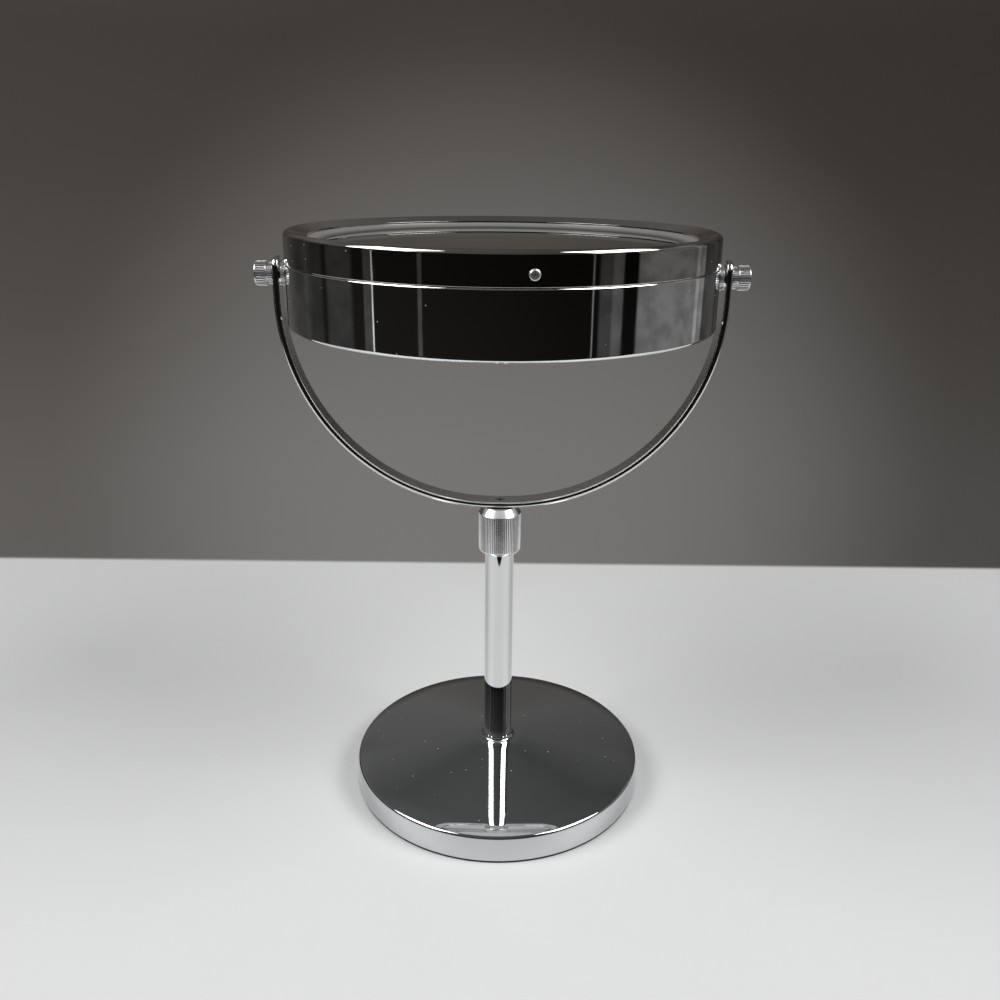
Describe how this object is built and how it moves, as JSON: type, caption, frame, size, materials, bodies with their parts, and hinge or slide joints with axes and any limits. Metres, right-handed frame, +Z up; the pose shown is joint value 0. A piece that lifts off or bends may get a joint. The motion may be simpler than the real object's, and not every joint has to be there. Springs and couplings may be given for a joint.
{
  "type": "lighted makeup mirror",
  "caption": "Chrome tabletop makeup mirror: two-sided drum head with a frosted light ring, tilting in a U yoke on a stem with a knurled collar and a weighted round foot.",
  "frame": {"origin": "middle of the foot pad's underside, where the mirror stands on the table", "axes": "+Z up the stem; +X along the pivot axis, to the right in the picture; -Y towards the picture's camera; at rest the lit face looks up"},
  "size_m": [0.2332, 0.2021, 0.2957],
  "materials": {
    "chrome_metal": "polished chrome plate",
    "chrome_plastic": "chrome plated, polished",
    "silvered_glass": "silvered glass",
    "frosted_plastic": "frosted, translucent",
    "cast_iron": "as cast",
    "foam_pad": "matte foam",
    "zinc_steel": "zinc plated",
    "white_plastic": "moulded",
    "black_plastic": "moulded",
    "foam_tape": "foam",
    "circuit_board": "white solder mask",
    "lamp_resin": "phosphor resin",
    "cell_jacket": "printed jacket, bare",
    "contact_metal": "nickel plated",
    "lead_sleeve": "sleeved wire"
  },
  "bodies": {
    "foot": {"base_cover": "chrome_metal", "base_weight": "cast_iron", "base_pad": "foam_pad", "stem_bolt": "zinc_steel", "stem_washer": "zinc_steel", "stem_plug": "zinc_steel", "stem_tube": "chrome_metal", "stem_insert": "zinc_steel"},
    "collar": {"stem_collar": "chrome_metal"},
    "yoke": {"yoke_strap": "chrome_metal", "yoke_screw": "chrome_metal", "pivot_washers": "chrome_metal", "pivot_lock_rings": "chrome_metal"},
    "head": {"rear_housing": "chrome_plastic", "front_ring": "chrome_plastic", "front_mirror": "silvered_glass", "light_diffuser": "frosted_plastic", "front_mirror_tape": "foam_tape", "lamp_tray": "white_plastic", "tray_screws": "zinc_steel", "led_board": "circuit_board", "leds": "lamp_resin", "rear_mirror": "silvered_glass", "rear_mirror_tape": "foam_tape", "rear_chassis": "black_plastic", "chassis_screws": "zinc_steel", "battery_box": "black_plastic", "battery_box_screws": "zinc_steel", "battery_cells": "cell_jacket", "battery_contacts": "contact_metal", "switch_body": "black_plastic", "switch_screws": "zinc_steel", "lead_wires": "lead_sleeve", "pivot_bolts": "zinc_steel", "pivot_bosses": "chrome_metal", "pivot_spacers": "chrome_metal", "ring_lock_screw": "chrome_metal"},
    "knob_left": {"pivot_knob_left": "chrome_metal"},
    "knob_right": {"pivot_knob_right": "chrome_metal"},
    "slider": {"switch_slider": "black_plastic"}
  },
  "joints": [
    {"name": "collar_turn", "type": "hinge", "parent": "foot", "child": "collar", "pos_m": [0, 0, 0.147], "axis": [0, 0, 1], "range_deg": [0, 360]},
    {"name": "yoke_swivel", "type": "hinge", "parent": "foot", "child": "yoke", "pos_m": [0, 0, 0.16], "axis": [0, 0, 1], "continuous": true},
    {"name": "head_tilt", "type": "hinge", "parent": "yoke", "child": "head", "pos_m": [0, 0, 0.2745], "axis": [1, 0, 0], "continuous": true},
    {"name": "knob_left_turn", "type": "hinge", "parent": "head", "child": "knob_left", "pos_m": [-0.114, 0, 0.2745], "axis": [1, 0, 0], "range_deg": [0, 360]},
    {"name": "knob_right_turn", "type": "hinge", "parent": "head", "child": "knob_right", "pos_m": [0.114, 0, 0.2745], "axis": [1, 0, 0], "range_deg": [-360, 0]},
    {"name": "switch_slide", "type": "slide", "parent": "head", "child": "slider", "axis": [1, 0, 0], "range_m": [0, 0.004]}
  ]
}
